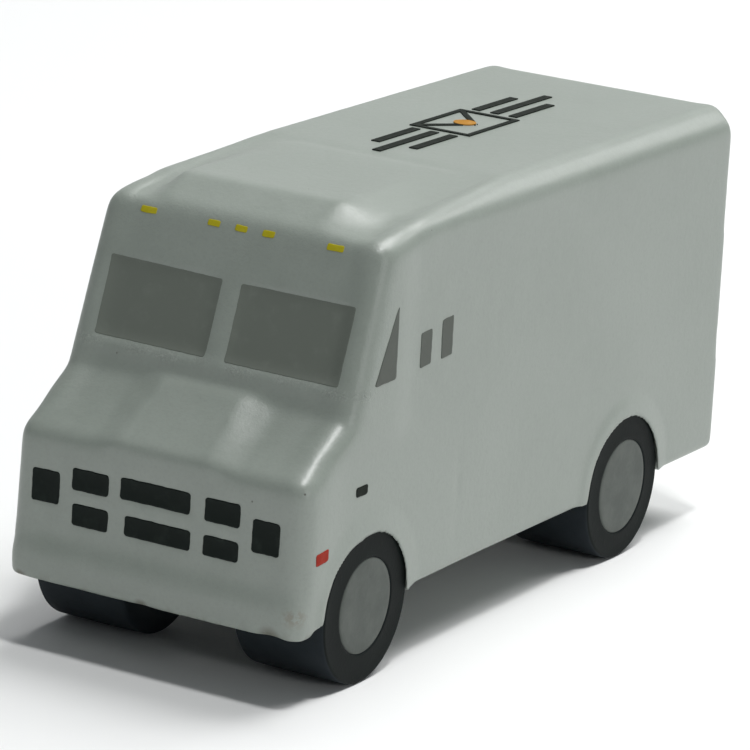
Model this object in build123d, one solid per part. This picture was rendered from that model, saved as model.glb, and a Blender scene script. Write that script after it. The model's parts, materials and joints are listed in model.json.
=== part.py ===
from build123d import *
import math
import os

# A palm-sized mail delivery truck: a soft foam body moulded in one piece, on a rolling chassis.
# Millimetres. +Z is up, the nose points along -Y and the truck's left side is +X.
# Heights are measured from a level line just under the axles' centre line, so that larger tyres
# lift the whole truck. When a piece is written it moves up by the tyres' reach below that line,
# which puts the origin on the ground, under the middle of the body.

# ---- overall ----
length = 112.9            # bumper face to tail
width = 43.0              # across the sills
roof_height = 48.55
sill_height = -0.05       # the underside of the body
side_lean = 1.15          # degrees that each side leans inwards
corner_radius = 2.3       # pillars, header and nose
roof_edge_cut = 1.4       # widens the rounding along the roof's two sides

# ---- nose and cab: setbacks are measured from the bumper face ----
grille_setback = 0.8
bonnet_height = 18.55     # where the grille plane would meet the bonnet line
cowl_setback = 10.6
cowl_height = 24.75       # where the bonnet line meets the windscreen plane
header_setback = 17.6
header_height = 45.6      # top of the windscreen plane
shoulder_setback = 28.0
shoulder_drop = 1.5       # how far the roof's front shoulders lie below the roof
shoulder_end = 52.0       # where the shoulders have risen to the roof

# ---- raised panels moulded on the roof and the bonnet ----
roof_panel_half_width = 12.3
roof_panel_crest = 24.0   # setback at which the fairing reaches the roof
roof_panel_end = 50.0
bonnet_panel_half_width = 8.2
bonnet_panel_rise_front = 0.55
bonnet_panel_rise_rear = 0.95
panel_radius = 1.2

# ---- bumper ----
bumper_bottom = -0.85
bumper_top = 4.45
bumper_depth = 4.6
bumper_chamfer = 0.75

# ---- running gear ----
front_axle_setback = 16.7
wheelbase = 69.0
axle_height = 0.25        # the axles' centre line, above the level line
tyre_radius = 10.1
tyre_width = 13.2
tyre_inset = 0.1          # the wheel's face lies this far inside the sill
tyre_edge = 0.4
hub_radius = 6.4
core_inset = 0.3          # the core's inner face, inside the tyre's
cap_thickness = 1.5
axle_radius = 1.5
running_gap = 0.05        # radial clearance of a wheel on its axle
fit_gap = 0.02            # radial clearance of pieces that are pressed or glued together
arch_gap = 0.2            # between a tyre and its arch
arch_wall_gap = 0.7       # between a tyre's inner face and the foam
lip_thickness = 0.35      # moulded lip on the leading half of each rear arch
lip_width = 1.2

# ---- chassis ----
recess_web = 1.2          # foam left between the recess and an arch
recess_height = 4.2       # depth of the foam's recess above the sill
recess_front = 2.6        # clear of the bumper's back
recess_rear = 6.0
chassis_side_gap = 0.2
plate_thickness = 2.0
rib_width = 1.0
saddle_half_length = 6.0
keeper_thickness = 2.6
keeper_radius = 0.6
screw_radius = 0.9
screw_head_radius = 1.8
screw_head_height = 1.3
screw_offset = 4.0        # from the axle, fore and aft
body_screw_from_axle = 17.0
anchor_radius = 2.4
anchor_flange_radius = 3.2
anchor_flange = 1.0
anchor_height = 7.0
spacer_radius = 2.4
spacer_end_gap = 0.2
nut_radius = 2.6
nut_thickness = 0.6
nut_gap = 0.3
axle_end = 0.4            # how far the axle stands out of its push nut

# ---- printed and inlaid graphics ----
film = 0.15               # thickness of an ink film
screen_recess = 0.5       # the windscreen panes lie in moulded recesses
slat_recess = 0.3
screen_inner = 1.5        # half the post between the panes
pillar = 3.75             # from a pane's outer edge to the body's widest
screen_bottom, screen_top = 28.75, 38.15
lamp_margin = 3.5         # from a headlamp's outer edge to the body's widest
lamp_wide = 3.9
lamp_bottom, lamp_top = 9.45, 13.65
lamp_gap = 1.9            # between a headlamp and the grille
slat_rows = ((7.55, 10.15), (12.15, 14.95))
slat_side_wide = 5.0
slat_gap = 2.2
slat_corner = 0.45
marker_height = 44.45
marker_pitch = 3.95       # between the three middle lamps
marker_margin = 7.9       # from an outer lamp's middle to the body's widest
marker_wide, marker_outer_wide, marker_tall = 1.9, 2.5, 1.15
quarter_window = ((15.8, 28.65), (20.4, 28.75), (20.9, 37.85))
door_panes = ((26.8, 29.9, 28.65, 33.15), (32.1, 35.25, 28.8, 33.85))
pane_slope = 0.06
handle_box = (12.65, 15.45, 15.1, 16.35)
side_marker_box = (3.3, 6.2, 8.5, 10.0)
side_marker_slope = 0.08
badge_start, badge_end = 52.0, 99.0
badge_x = -1.5            # the badge's centre line
badge_half = 4.6

# ---- moulded creases ----
crease_depth = 0.25
crease_width = 0.6
upper_crease_height, upper_crease_start, upper_crease_stop = 38.85, 26.5, 4.9
lower_crease_height, lower_crease_start = 16.25, 39.5
door_crease_setback, door_crease_bottom = 38.3, 2.65
rear_door_margin = 5.0    # from the rear doors' outline to the body's widest
rear_door_bottom, rear_door_top = 3.65, 42.15

far = 4 * length


def back(setback):
    """Y of a point that lies a given distance behind the bumper face."""
    return setback - length / 2


ground = axle_height - tyre_radius
front_axle_y = back(front_axle_setback)
rear_axle_y = front_axle_y + wheelbase
axles = {"front": front_axle_y, "rear": rear_axle_y}
sides = {"left": 1, "right": -1}
tyre_face = width / 2 - tyre_inset
tyre_inner = tyre_face - tyre_width
arch_wall = tyre_inner - arch_wall_gap
recess_half_width = arch_wall - recess_web
recess_top = sill_height + recess_height
screen_outer = width / 2 - pillar
lamp_outer = width / 2 - lamp_margin
lamp_inner = lamp_outer - lamp_wide
slat_side_outer = lamp_inner - lamp_gap
slat_side_inner = slat_side_outer - slat_side_wide
slat_centre_half = slat_side_inner - slat_gap
plate_bottom = recess_top - plate_thickness
chassis_half_width = recess_half_width - chassis_side_gap
keeper_bottom = axle_height - keeper_thickness
core_inner = tyre_inner + core_inset
cap_back = tyre_face - cap_thickness
lean = math.radians(side_lean)
screen_angle = math.atan2(header_setback - cowl_setback, header_height - cowl_height)


# ---------------------------------------------------------------- helpers
def outline(points):
    """A face in the truck's upright middle plane, from (setback, height) points."""
    return make_face(Polyline(*[(back(d), z) for d, z in points], close=True))


def rounded_prism(points, half_width, radius, grow=0.0, leaning=False):
    """A side outline carried across the truck, with every outer edge rounded, then swollen by grow."""
    core = offset(outline(points), amount=-radius, kind=Kind.INTERSECTION)
    prism = extrude(Plane.YZ * core, amount=half_width - radius, both=True)
    if leaning:
        for s in sides.values():
            cut = Plane(
                origin=(s * (half_width - radius), 0, sill_height),
                x_dir=(0, 1, 0),
                z_dir=(s * math.cos(lean), 0, math.sin(lean)),
            )
            prism = split(prism, bisect_by=cut, keep=Keep.BOTTOM)
            top = side_x(roof_height) - radius - roof_edge_cut
            cut = Plane(origin=(s * top, 0, roof_height - radius), x_dir=(0, 1, 0), z_dir=(s, 0, 1))
            prism = split(prism, bisect_by=cut, keep=Keep.BOTTOM)
    return offset(prism, amount=radius + grow, kind=Kind.ARC)


def bar(x0, x1, y0, y1, z0, z1):
    """A box between two corners."""
    return Pos((x0 + x1) / 2, (y0 + y1) / 2, (z0 + z1) / 2) * Box(x1 - x0, y1 - y0, z1 - z0)


def rod(radius, x0, x1, y, z, side=1):
    """A cylinder along X, between two distances from the middle, on one side."""
    a, b = sorted((side * x0, side * x1))
    return Pos((a + b) / 2, y, z) * Rot(0, 90, 0) * Cylinder(radius, b - a)


def post(radius, x, y, z0, z1):
    """An upright cylinder."""
    return Pos(x, y, (z0 + z1) / 2) * Cylinder(radius, z1 - z0)


def side_plane(side):
    """The leaning plane of one side of the body; its first axis runs aft."""
    return Plane(
        origin=(side * width / 2, 0, sill_height),
        x_dir=(0, 1, 0),
        z_dir=(side * math.cos(lean), 0, math.sin(lean)),
    )


def side_x(z):
    """Half the body's width at a height."""
    return width / 2 - (z - sill_height) * math.tan(lean)


def side_prism(points, side):
    """A slab that crosses one side of the body, from (setback, height) points."""
    face = make_face(Polyline(*[(back(d), z) for d, z in points], close=True))
    slab = extrude(Plane.YZ * face, amount=4 * corner_radius, both=True)
    return Pos(side * (width / 2 - corner_radius), 0, 0) * slab


def rectangle_points(d0, d1, z0, z1, slope=0.0):
    rise = slope * (d1 - d0)
    return [(d0, z0), (d1, z0 + rise), (d1, z1 + rise), (d0, z1)]


screen_plane = Plane(
    origin=(0, back(cowl_setback), cowl_height),
    x_dir=(1, 0, 0),
    z_dir=(0, -math.cos(screen_angle), math.sin(screen_angle)),
)
grille_plane = Plane(origin=(0, back(grille_setback), 0), x_dir=(1, 0, 0), z_dir=(0, -1, 0))


def screen_v(z):
    """Distance up the windscreen plane at a height."""
    return (z - cowl_height) / math.cos(screen_angle)


def panel(plane, x0, x1, v0, v1, corner, low, high):
    """A rounded rectangle on a plane, solid between two depths along its normal."""
    shape = Pos((x0 + x1) / 2, (v0 + v1) / 2) * RectangleRounded(x1 - x0, v1 - v0, corner)
    return extrude(plane.offset(low) * shape, amount=high - low)


# ---------------------------------------------------------------- foam body
def outer_form(grow=0.0):
    """The body's outer shape before anything is cut from it."""
    deep = sill_height - 2 * corner_radius
    tail = length + 3 * corner_radius
    shell = rounded_prism(
        [
            (grille_setback, deep),
            (grille_setback, bonnet_height),
            (cowl_setback, cowl_height),
            (header_setback, header_height),
            (shoulder_setback, roof_height - shoulder_drop),
            (shoulder_end, roof_height),
            (tail, roof_height),
            (tail, deep),
        ],
        width / 2,
        corner_radius,
        grow,
        leaning=True,
    )
    roof_panel = rounded_prism(
        [
            (header_setback, header_height),
            (roof_panel_crest, roof_height),
            (roof_panel_end, roof_height),
            (roof_panel_end, header_height - 2 * corner_radius),
            (header_setback + corner_radius, header_height - 2 * corner_radius),
        ],
        roof_panel_half_width,
        panel_radius,
        grow,
    )
    bonnet_panel = rounded_prism(
        [
            (grille_setback, bonnet_height - corner_radius),
            (grille_setback, bonnet_height + bonnet_panel_rise_front),
            (cowl_setback - bonnet_panel_rise_rear, cowl_height + bonnet_panel_rise_rear),
            (cowl_setback + corner_radius, cowl_height + bonnet_panel_rise_rear),
            (cowl_setback + corner_radius, bonnet_height - corner_radius),
        ],
        bonnet_panel_half_width,
        panel_radius,
        grow,
    )
    return shell + roof_panel + bonnet_panel


def bumper():
    plan = Pos(0, back(bumper_depth / 2)) * Rectangle(width, bumper_depth)
    nose = plan.vertices().group_by(Axis.Y)[0]
    plan = fillet(nose, corner_radius)
    block = extrude(Pos(0, 0, bumper_bottom) * plan, amount=bumper_top - bumper_bottom)
    rim = block.faces().sort_by(Axis.Z)[-1].outer_wire().edges()
    lead = [e for e in rim if e.center().Y < back(bumper_depth) - bumper_chamfer]
    return chamfer(lead, bumper_chamfer)


def arch_cut(y, side):
    return rod(tyre_radius + arch_gap, arch_wall, width, y, axle_height, side)


def arch_lip(y, side):
    """A crescent that stands out of the side on the leading half of an arch."""
    inner = tyre_radius + arch_gap
    outer_rod = rod(
        inner + lip_width,
        width / 2 - 2 * corner_radius,
        side_x(axle_height + inner) + lip_thickness,
        y - lip_width,
        axle_height,
        side,
    )
    keep = bar(-width, width, y - 2 * inner, y, sill_height, roof_height)
    return outer_rod & keep


def body_creases():
    """Shallow grooves of the mould: the two belt lines, the cab door's edge and the rear doors."""
    cuts = []
    belts = (
        (upper_crease_height, upper_crease_start, length - upper_crease_stop),
        (lower_crease_height, lower_crease_start, length),
    )
    for s in sides.values():
        for z, d0, d1 in belts:
            x = side_x(z)
            near, far_x = sorted((s * (x - crease_depth), s * (x + crease_width)))
            low, high = z - crease_width / 2, z + crease_width / 2
            cuts.append(bar(near, far_x, back(d0), back(d1), low, high))
        d, z0, z1 = door_crease_setback, door_crease_bottom, lower_crease_height
        x = side_x(z1)
        near, far_x = sorted((s * (x - crease_depth), s * (x + 2 * crease_width)))
        cuts.append(bar(near, far_x, back(d), back(d + crease_width), z0, z1))
    tail = length / 2
    x = width / 2 - rear_door_margin
    skin = (tail - crease_depth, tail + crease_width)
    lines = [(-x, x, rear_door_top), (-x, x, rear_door_bottom)]
    for x0, x1, z in lines:
        cuts.append(bar(x0, x1, *skin, z, z + crease_width))
    for x0 in (-x, -crease_width / 2, x - crease_width):
        cuts.append(bar(x0, x0 + crease_width, *skin, rear_door_bottom, rear_door_top))
    return cuts


def recess_ends():
    """Y of the front and rear ends of the foam's underside recess."""
    return back(bumper_depth + recess_front), back(length - recess_rear)


def underside_cuts():
    y0, y1 = recess_ends()
    cuts = [bar(-recess_half_width, recess_half_width, y0, y1, ground, recess_top)]
    slot = spacer_radius + arch_gap
    for y in axles.values():
        cuts.append(rod(slot, -arch_wall - 1, arch_wall + 1, y, axle_height))
        cuts += [arch_cut(y, s) for s in sides.values()]
    return cuts


def windscreen(side, low, high, margin=0.0):
    a, b = sorted((side * (screen_inner - margin), side * (screen_outer + margin)))
    bottom, top = screen_v(screen_bottom) - margin, screen_v(screen_top) + margin
    return panel(screen_plane, a, b, bottom, top, slat_corner, low, high)


def headlamp(side, low, high):
    a, b = sorted((side * lamp_inner, side * lamp_outer))
    return panel(grille_plane, a, b, lamp_bottom, lamp_top, slat_corner, low, high)


def slats(low, high):
    spans = [
        (-slat_centre_half, slat_centre_half),
        (slat_side_inner, slat_side_outer),
        (-slat_side_outer, -slat_side_inner),
    ]
    return [
        panel(grille_plane, a, b, z0, z1, slat_corner, low, high)
        for z0, z1 in slat_rows
        for a, b in spans
    ]


def foam_body(form):
    """The soft body: outer form, bumper and arch lips, less its arches, recess, creases and pockets."""
    body = form & bar(-far, far, back(-corner_radius), length / 2, sill_height, far)
    body += bumper()
    for s in sides.values():
        body += arch_lip(rear_axle_y, s)
    for cut in underside_cuts() + body_creases():
        body -= cut
    for s in sides.values():
        body -= windscreen(s, -screen_recess, corner_radius, margin=fit_gap)
        body -= headlamp(s, -slat_recess, corner_radius)
    for pocket in slats(-slat_recess, corner_radius):
        body -= pocket
    for x, y in anchor_places():
        body -= anchor_envelope(x, y)
    return body


# ---------------------------------------------------------------- chassis
def anchor_places():
    """Where the body screws go, on the middle line between the axles."""
    return [(0, front_axle_y + body_screw_from_axle), (0, rear_axle_y - body_screw_from_axle)]


def anchor_envelope(x, y):
    """A flanged plug, standing on the recess's top."""
    top = recess_top + anchor_height
    plug = post(anchor_radius, x, y, recess_top, top)
    plug += post(anchor_flange_radius, x, y, recess_top, recess_top + anchor_flange)
    return plug + post(anchor_flange_radius, x, y, top - 2 * anchor_flange, top - anchor_flange)


def screw(x, y, head_z, tip_z):
    """A cross-head screw that points up, its head's underside uppermost at head_z."""
    head = post(screw_head_radius, x, y, head_z - screw_head_height, head_z)
    low = head.faces().sort_by(Axis.Z)[0].edges()
    head = fillet(low, screw_head_height / 3)
    slot = screw_head_height / 2
    for a, b in ((screw_head_radius, 0.25), (0.25, screw_head_radius)):
        a, b = min(a, screw_radius * 1.2), min(b, screw_radius * 1.2)
        z = head_z - screw_head_height
        head -= bar(x - a, x + a, y - b, y + b, z - slot, z + slot)
    shank = post(screw_radius, x, y, head_z, tip_z - screw_radius)
    tip = Pos(x, y, tip_z - screw_radius / 2) * Cone(screw_radius, screw_radius / 4, screw_radius)
    return head + shank + tip


def keeper_screw_places(y):
    return [(0, y - screw_offset), (0, y + screw_offset)]


def keeper_head_z():
    """Where a keeper screw's head seats."""
    return keeper_bottom + screw_head_height + 0.1


def chassis_plate():
    y0, y1 = recess_ends()
    y0, y1 = y0 + chassis_side_gap, y1 - chassis_side_gap
    half = chassis_half_width
    plate = bar(-half, half, y0, y1, plate_bottom, recess_top)
    for s in sides.values():
        a, b = sorted((s * half, s * (half - rib_width)))
        plate += bar(a, b, y0, y1, sill_height, plate_bottom)
    for y in (y0, y1 - rib_width, (front_axle_y + rear_axle_y - rib_width) / 2):
        plate += bar(-half, half, y, y + rib_width, sill_height, plate_bottom)
    for y in axles.values():
        near, far_y = y - saddle_half_length, y + saddle_half_length
        plate += bar(-half, half, near, far_y, axle_height, plate_bottom)
        plate -= bar(-half, half, near, far_y, sill_height - 1, axle_height)
        plate -= rod(axle_radius + fit_gap, -half - 1, half + 1, y, axle_height)
        for x, screw_y in keeper_screw_places(y):
            plate -= post(screw_radius + fit_gap, x, screw_y, axle_height - 1, recess_top - 0.2)
    for x, y in anchor_places():
        plate -= post(screw_radius + fit_gap, x, y, plate_bottom - 1, recess_top + 1)
    return plate


def axle_keeper(y):
    half = chassis_half_width
    near, far_y = y - saddle_half_length, y + saddle_half_length
    block = bar(-half, half, near, far_y, keeper_bottom, axle_height)
    block = fillet(block.faces().sort_by(Axis.Z)[0].edges(), keeper_radius)
    block -= rod(axle_radius + fit_gap, -half - 1, half + 1, y, axle_height)
    for x, screw_y in keeper_screw_places(y):
        block -= post(screw_radius + fit_gap, x, screw_y, ground, axle_height + 1)
        block -= post(screw_head_radius + 0.2, x, screw_y, ground, keeper_head_z())
    return block


def screw_anchor(x, y):
    tip = recess_top + anchor_height - anchor_flange
    return anchor_envelope(x, y) - post(screw_radius + fit_gap, x, y, recess_top - 1, tip)


# ---------------------------------------------------------------- running gear
def push_nut_inner():
    """Distance from the middle to a push nut's inner face."""
    return cap_back - nut_gap - nut_thickness - axle_end


def axle(y):
    end = push_nut_inner() + nut_thickness + axle_end
    body = rod(axle_radius, -end, end, y, axle_height)
    return chamfer(body.edges().filter_by(GeomType.CIRCLE), axle_end / 2)


def push_nut(y, side):
    inner = push_nut_inner()
    outer = inner + nut_thickness
    ring = rod(nut_radius, inner, outer, y, axle_height, side)
    return ring - rod(axle_radius + fit_gap, inner - 1, outer + 1, y, axle_height, side)


def axle_spacer(y, side):
    inner = chassis_half_width + spacer_end_gap / 4
    outer = core_inner - spacer_end_gap
    tube = rod(spacer_radius, inner, outer, y, axle_height, side)
    bore = axle_radius + running_gap
    return tube - rod(bore, inner - 1, outer + 1, y, axle_height, side)


def tyre(y, side):
    ring = rod(tyre_radius, tyre_inner, tyre_face, y, axle_height, side)
    ring = fillet(ring.edges().filter_by(GeomType.CIRCLE), tyre_edge)
    bore = hub_radius + fit_gap
    return ring - rod(bore, tyre_inner - 1, tyre_face + 1, y, axle_height, side)


def wheel_core(y, side):
    """The plastic sleeve that runs on the axle, cored out behind and pocketed for the push nut."""
    pocket_floor = push_nut_inner() - nut_gap
    core = rod(hub_radius, core_inner, cap_back, y, axle_height, side)
    core -= rod(axle_radius + running_gap, core_inner - 1, cap_back + 1, y, axle_height, side)
    core -= rod(cap_ring_radius() + fit_gap, pocket_floor, cap_back + 1, y, axle_height, side)
    depth = (pocket_floor - core_inner) / 2
    hollow = rod(hub_radius - 1.0, core_inner - 1, core_inner + depth, y, axle_height, side)
    hollow -= rod(axle_radius + 1.4, core_inner - 2, core_inner + depth + 1, y, axle_height, side)
    for k in range(3):
        web = Rot(60 * k, 0, 0) * Box(2 * depth + 4, 3 * hub_radius, 0.8)
        hollow -= Pos(side * core_inner, y, axle_height) * web
    return core - hollow


def cap_ring_radius():
    """Outer radius of the ring behind a hub cap, which grips the core's pocket."""
    return nut_radius + nut_gap + 0.6


def hub_cap(y, side):
    disc = rod(hub_radius, cap_back, tyre_face, y, axle_height, side)
    rim = disc.edges().filter_by(GeomType.CIRCLE).sort_by(Axis.X)
    disc = chamfer(rim[-1 if side > 0 else 0], 0.15)
    ring = rod(cap_ring_radius(), cap_back - axle_end, cap_back, y, axle_height, side)
    bore = nut_radius + nut_gap
    ring -= rod(bore, cap_back - 1, cap_back, y, axle_height, side)
    return disc + ring


# ---------------------------------------------------------------- printed graphics
def side_print(skin, points, side):
    return skin & side_prism(points, side)


def marker_lamps(skin):
    outer = width / 2 - marker_margin
    places = [(k * marker_pitch, marker_wide) for k in (-1, 0, 1)]
    places += [(s * outer, marker_outer_wide) for s in sides.values()]
    lamps = []
    v = screen_v(marker_height)
    for x, wide in places:
        shape = Pos(x, v) * Rectangle(wide, marker_tall)
        slab = extrude(screen_plane.offset(-corner_radius) * shape, amount=2 * corner_radius)
        lamps.append(skin & slab)
    return lamps


def roof_sketches():
    """An envelope between two groups of bars, in plan; the seal is printed in its own colour."""
    middle = back((badge_start + badge_end) / 2)
    half_long, half_wide, line = 1.5 * badge_half, badge_half, 0.8
    frame = Rectangle(2 * half_wide, 2 * half_long)
    frame -= Rectangle(2 * (half_wide - line), 2 * (half_long - line))
    seal = Circle(badge_half / 3)
    flap = []
    for end in (-1, 1):
        ends = ((-half_wide + line / 2, end * (half_long - line / 2)), (half_wide / 3, 0))
        dx, dy = ends[1][0] - ends[0][0], ends[1][1] - ends[0][1]
        turn = math.degrees(math.atan2(dy, dx))
        stroke = Rectangle(math.hypot(dx, dy), line)
        flap.append(Pos((ends[0][0] + ends[1][0]) / 2, (ends[0][1] + ends[1][1]) / 2) * Rot(0, 0, turn) * stroke)
    envelope = frame + flap[0] + flap[1] - Circle(badge_half / 3 + line / 4)
    bars = []
    gap = 1.2
    for end, y_end in ((-1, back(badge_start)), (1, back(badge_end))):
        y_near = middle + end * (half_long + gap)
        for k in (-1, 0, 1):
            reach = y_end - end * abs(k) * badge_half
            x = k * badge_half * 0.62
            centre = (x, (y_near + reach) / 2 - middle)
            bars.append(Pos(*centre) * Rectangle(line * 1.6, abs(reach - y_near)))
    place = Pos(badge_x, middle, roof_height)
    return place, [envelope, *bars], seal


def write(name, shapes):
    """One STEP file for one node, which may hold several separate solids."""
    solids = [solid for shape in shapes for solid in shape.solids()]
    shape = solids[0] if len(solids) == 1 else Compound(solids)
    export_step(Pos(0, 0, -ground) * shape, f"parts/{name}.step")


def main():
    os.makedirs("parts", exist_ok=True)
    form = outer_form()
    skin = outer_form(film) - form

    write("foam_body", [foam_body(form)])
    write("chassis_plate", [chassis_plate()])
    write("screw_anchors", [screw_anchor(x, y) for x, y in anchor_places()])
    body_tip = recess_top + anchor_height - 2 * anchor_flange
    write("body_screws", [screw(x, y, plate_bottom, body_tip) for x, y in anchor_places()])

    for end, y in axles.items():
        write(f"{end}_axle", [axle(y)])
        write(f"{end}_axle_keeper", [axle_keeper(y)])
        places = keeper_screw_places(y)
        write(f"{end}_keeper_screws", [screw(a, b, keeper_head_z(), recess_top - 0.4) for a, b in places])
        write(f"{end}_axle_spacers", [axle_spacer(y, s) for s in sides.values()])
        write(f"{end}_push_nuts", [push_nut(y, s) for s in sides.values()])
        for name, s in sides.items():
            write(f"{end}_{name}_tyre", [tyre(y, s)])
            write(f"{end}_{name}_wheel_core", [wheel_core(y, s)])
            write(f"{end}_{name}_hub_cap", [hub_cap(y, s)])

    for name, s in sides.items():
        write(f"windscreen_{name}", [windscreen(s, -screen_recess, film - screen_recess)])
        write(f"headlamp_{name}", [headlamp(s, -slat_recess, film - slat_recess)])
        write(f"quarter_window_{name}", [side_print(skin, quarter_window, s)])
        panes = [rectangle_points(*pane, pane_slope) for pane in door_panes]
        write(f"door_windows_{name}", [side_print(skin, pane, s) for pane in panes])
        write(f"door_handle_{name}", [side_print(skin, rectangle_points(*handle_box), s)])
        write(f"side_marker_{name}", [side_print(skin, rectangle_points(*side_marker_box, side_marker_slope), s)])
    write("grille_slats", slats(-slat_recess, film - slat_recess))
    write("roof_marker_lamps", marker_lamps(skin))
    place, marks, seal = roof_sketches()
    write("roof_badge", [extrude(place * mark, amount=film) for mark in marks])
    write("roof_badge_seal", [extrude(place * seal, amount=film)])


main()
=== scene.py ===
# %% [markdown]
# # A soft foam mail truck
# The real object is a palm-sized delivery truck, moulded in one piece of squeezable foam, with
# flat printed windows and black wheels. The frame holds its exact sizes. This lesson gives it its
# looks: a soft skin, ink that follows the skin, rubbery wheels, a chassis underneath and a studio.

# %% Load the frame
import json
import math

import bmesh
import bpy
import numpy as np
from mathutils import Matrix, Vector, noise
from mathutils.bvhtree import BVHTree

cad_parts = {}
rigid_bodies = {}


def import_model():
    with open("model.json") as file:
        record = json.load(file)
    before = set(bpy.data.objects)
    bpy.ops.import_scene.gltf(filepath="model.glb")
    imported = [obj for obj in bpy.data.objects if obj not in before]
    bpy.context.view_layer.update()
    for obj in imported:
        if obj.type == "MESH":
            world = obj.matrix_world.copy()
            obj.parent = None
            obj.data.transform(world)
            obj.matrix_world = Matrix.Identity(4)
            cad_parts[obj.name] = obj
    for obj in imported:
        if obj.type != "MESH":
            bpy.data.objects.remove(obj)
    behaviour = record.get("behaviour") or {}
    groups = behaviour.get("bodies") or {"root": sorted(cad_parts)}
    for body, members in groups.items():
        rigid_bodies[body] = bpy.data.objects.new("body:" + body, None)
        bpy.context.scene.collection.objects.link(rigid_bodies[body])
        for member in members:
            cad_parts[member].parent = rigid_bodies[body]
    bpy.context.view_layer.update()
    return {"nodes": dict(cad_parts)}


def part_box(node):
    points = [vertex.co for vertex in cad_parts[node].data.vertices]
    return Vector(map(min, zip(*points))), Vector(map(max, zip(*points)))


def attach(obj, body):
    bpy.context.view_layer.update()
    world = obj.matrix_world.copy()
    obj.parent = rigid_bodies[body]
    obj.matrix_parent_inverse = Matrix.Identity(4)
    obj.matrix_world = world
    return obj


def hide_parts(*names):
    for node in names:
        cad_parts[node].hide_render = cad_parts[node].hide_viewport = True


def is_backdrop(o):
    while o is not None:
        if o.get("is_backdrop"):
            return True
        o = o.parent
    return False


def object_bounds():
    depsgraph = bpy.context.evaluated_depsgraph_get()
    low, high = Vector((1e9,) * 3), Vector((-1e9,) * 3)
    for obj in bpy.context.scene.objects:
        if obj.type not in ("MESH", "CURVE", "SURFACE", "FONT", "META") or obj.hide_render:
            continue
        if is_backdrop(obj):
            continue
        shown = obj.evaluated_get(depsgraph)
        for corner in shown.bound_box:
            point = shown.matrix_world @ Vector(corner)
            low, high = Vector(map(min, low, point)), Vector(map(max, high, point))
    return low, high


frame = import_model()
nodes = frame["nodes"]
MM = 0.001

# %% [markdown]
# ## Writing shader maths as sums
# Most finishes below are sums of a few soft patterns. They could be wired by hand, but a long chain
# of Math nodes is hard to read back. Instead, a small class wraps a socket and adds the nodes
# whenever it meets +, -, * or /, so a finish reads like a recipe.

# %% A socket that can be used in sums
class Wire:
    """An output socket. Sums with numbers and other wires add Math nodes."""

    def __init__(self, finish, socket):
        self.finish, self.socket = finish, socket

    def sum(self, operation, a, b):
        return self.finish.node("ShaderNodeMath", {"operation": operation}, {0: a, 1: b})

    def __add__(self, other):
        return self.sum("ADD", self, other)

    __radd__ = __add__

    def __sub__(self, other):
        return self.sum("SUBTRACT", self, other)

    def __rsub__(self, other):
        return self.sum("SUBTRACT", other, self)

    def __mul__(self, other):
        return self.sum("MULTIPLY", self, other)

    __rmul__ = __mul__

    def __truediv__(self, other):
        return self.sum("DIVIDE", self, other)

    def __rtruediv__(self, other):
        return self.sum("DIVIDE", other, self)

    def rise(self, low, high):
        """0 below low, 1 above high, and a soft step between them. It falls if low is above high."""
        settings = {"interpolation_type": "SMOOTHSTEP", "clamp": True}
        if low < high:
            ends = {"From Min": low, "From Max": high, "To Min": 0.0, "To Max": 1.0}
        else:
            ends = {"From Min": high, "From Max": low, "To Min": 1.0, "To Max": 0.0}
        return self.finish.node("ShaderNodeMapRange", settings, {"Value": self, **ends}, "Result")


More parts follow.
